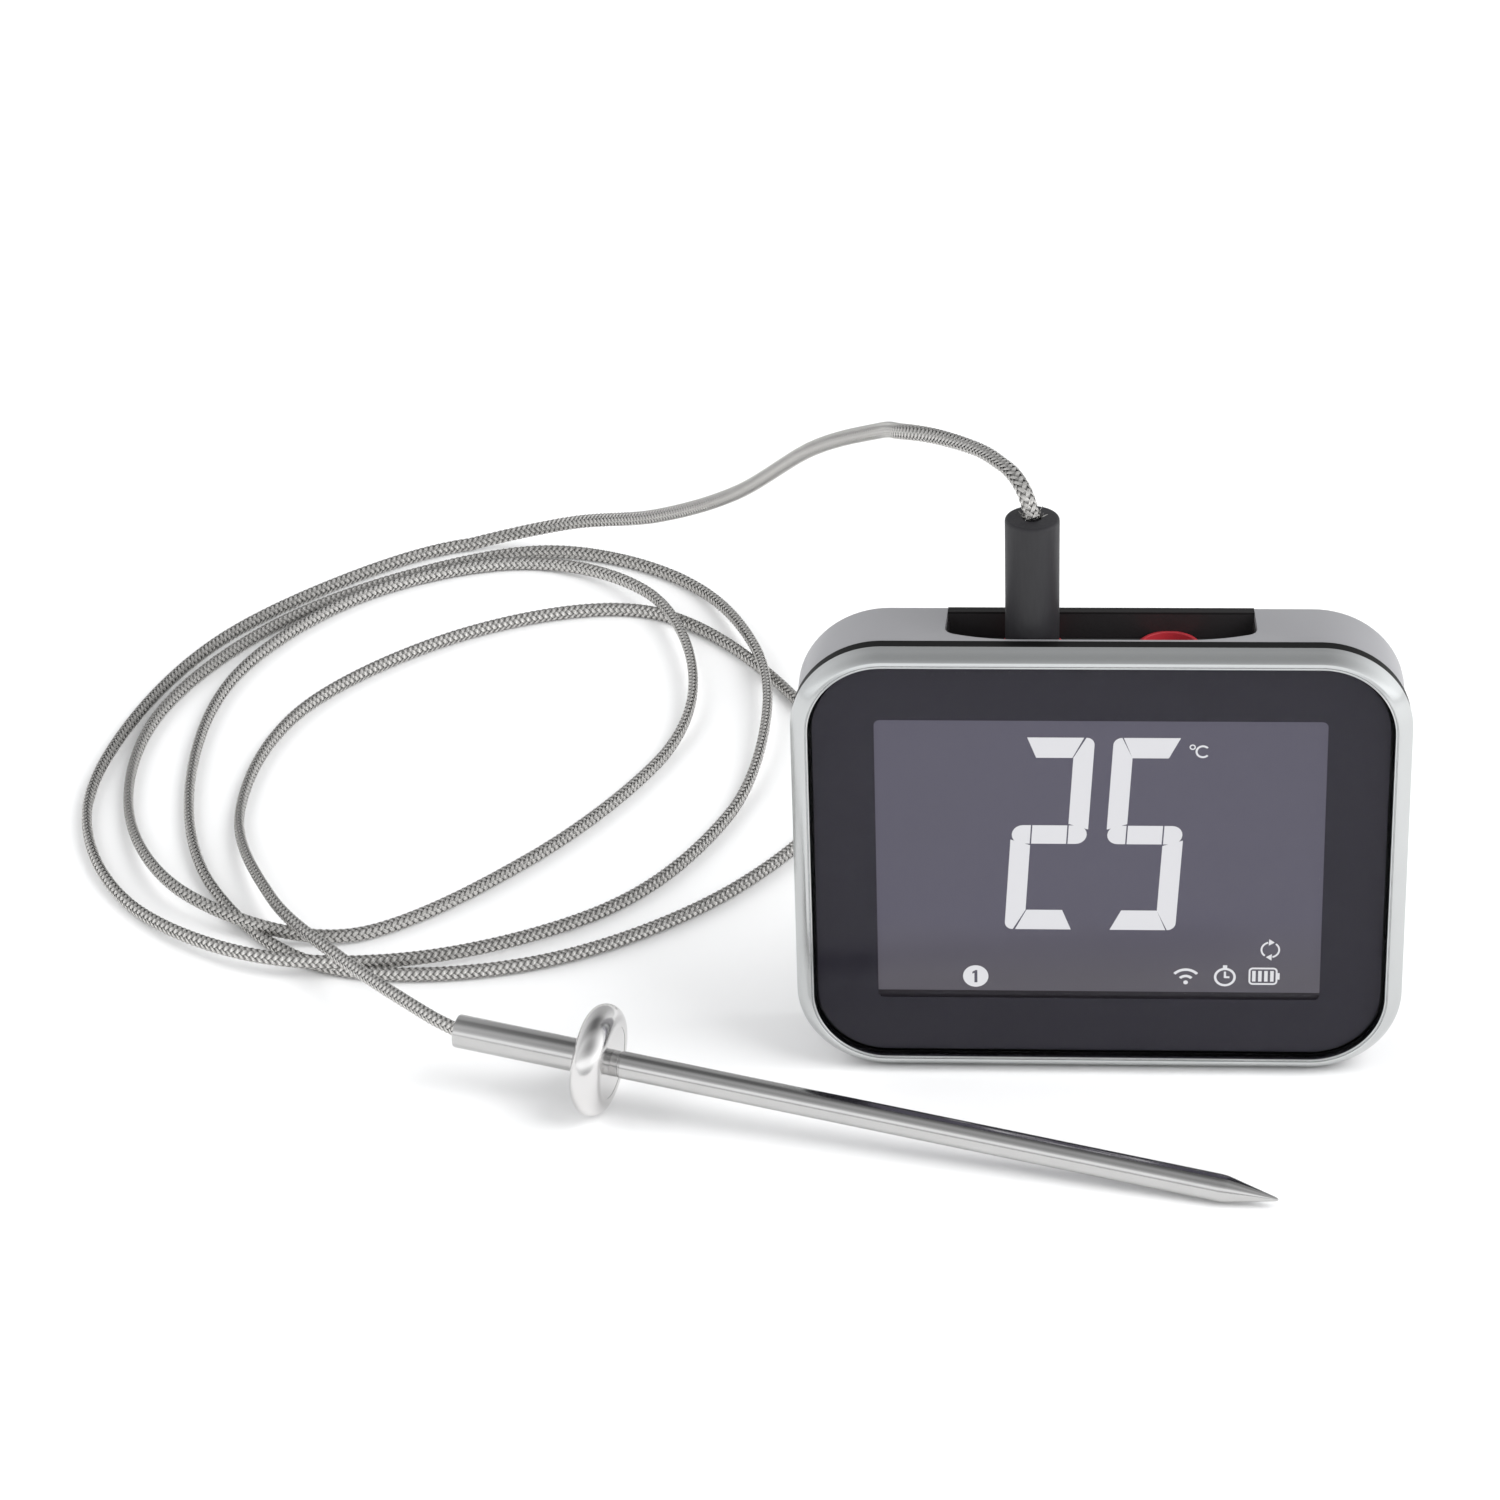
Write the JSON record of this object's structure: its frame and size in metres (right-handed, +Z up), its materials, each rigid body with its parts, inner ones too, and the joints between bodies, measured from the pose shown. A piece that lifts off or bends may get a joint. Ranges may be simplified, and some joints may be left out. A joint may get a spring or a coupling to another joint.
{
  "type": "meat thermometer",
  "caption": "Glass-fronted thermometer display that stands upright, with a braided steel lead from a plug in its top to a roasting probe with a round stop disc.",
  "frame": {"origin": "middle of the foot strip's lower face, on the surface that the display unit stands on", "axes": "+X to the right of the display, +Y to its rear, +Z up; the glass faces -Y"},
  "size_m": [0.2362, 0.2248, 0.1059],
  "materials": {
    "polished_ring": "satin polished metal",
    "cover_glass": "clear, gloss",
    "black_print": "black print under glass",
    "clear_film": "clear film",
    "display_picture": "blue grey display",
    "light_guide": "milky",
    "tinned_steel": "bright",
    "black_plastic": "fine matt",
    "grey_housing": "satin metallic grey",
    "red_collar": "semi gloss red",
    "jack_plastic": "black moulding",
    "gold_plate": "gold plated",
    "circuit_board": "green solder mask",
    "amber_film": "amber film",
    "battery_foil": "soft silver foil",
    "white_tape": "adhesive tape",
    "soft_rubber": "matt rubber",
    "screw_steel": "dull zinc",
    "stand_plastic": "fine grain",
    "plug_rubber": "matt dark grey",
    "plug_metal": "nickel plated",
    "steel_braid": "braided stainless wire",
    "probe_steel": "fine turned stainless steel",
    "disc_steel": "polished stainless steel",
    "bead": "glazed"
  },
  "bodies": {
    "display_unit": {"bezel": "polished_ring", "front_glass": "cover_glass", "glass_border": "black_print", "touch_film": "clear_film", "lcd_panel": "display_picture", "light_guide": "light_guide", "display_can": "tinned_steel", "display_carrier": "black_plastic", "housing": "grey_housing", "rear_cover": "black_plastic", "jack_tray": "black_plastic", "collar_left": "red_collar", "collar_right": "red_collar", "jack_left": "jack_plastic", "jack_right": "jack_plastic", "jack_terminals": "gold_plate", "main_board": "circuit_board", "wireless_module": "tinned_steel", "display_ribbon": "amber_film", "battery": "battery_foil", "battery_tape": "white_tape", "buzzer": "jack_plastic", "charge_port": "tinned_steel", "power_switch": "jack_plastic", "magnets": "tinned_steel", "rear_screws": "screw_steel", "board_screws": "screw_steel", "stand_pin": "screw_steel", "foot_strip": "soft_rubber", "cable_loops": "steel_braid", "probe_sleeve": "probe_steel", "probe_disc": "disc_steel", "probe_needle": "probe_steel", "sensor_bead": "bead"},
    "plug": {"plug_grip": "plug_rubber", "plug_sleeve": "plug_metal", "plug_ring": "jack_plastic", "plug_tip": "plug_metal", "cable_lead": "steel_braid"},
    "stand": {"stand": "stand_plastic"},
    "power_button": {"power_button": "grey_housing"},
    "port_cover": {"port_cover": "soft_rubber"}
  },
  "joints": [
    {"name": "plug_pull", "type": "slide", "parent": "display_unit", "child": "plug", "axis": [0, 0, 1], "range_m": [0, 0.014]},
    {"name": "stand_fold", "type": "hinge", "parent": "display_unit", "child": "stand", "pos_m": [0, 0.0082, 0.051], "axis": [1, 0, 0], "range_deg": [0, 60]},
    {"name": "button_press", "type": "slide", "parent": "display_unit", "child": "power_button", "axis": [-1, 0, 0], "range_m": [0, 0.0005], "stiffness_N_per_m": 600, "springref_m": -0.0004},
    {"name": "port_cover_swing", "type": "hinge", "parent": "display_unit", "child": "port_cover", "pos_m": [0.0494, 0.0013, 0.022], "axis": [0, 1, 0], "range_deg": [0, 88]}
  ]
}
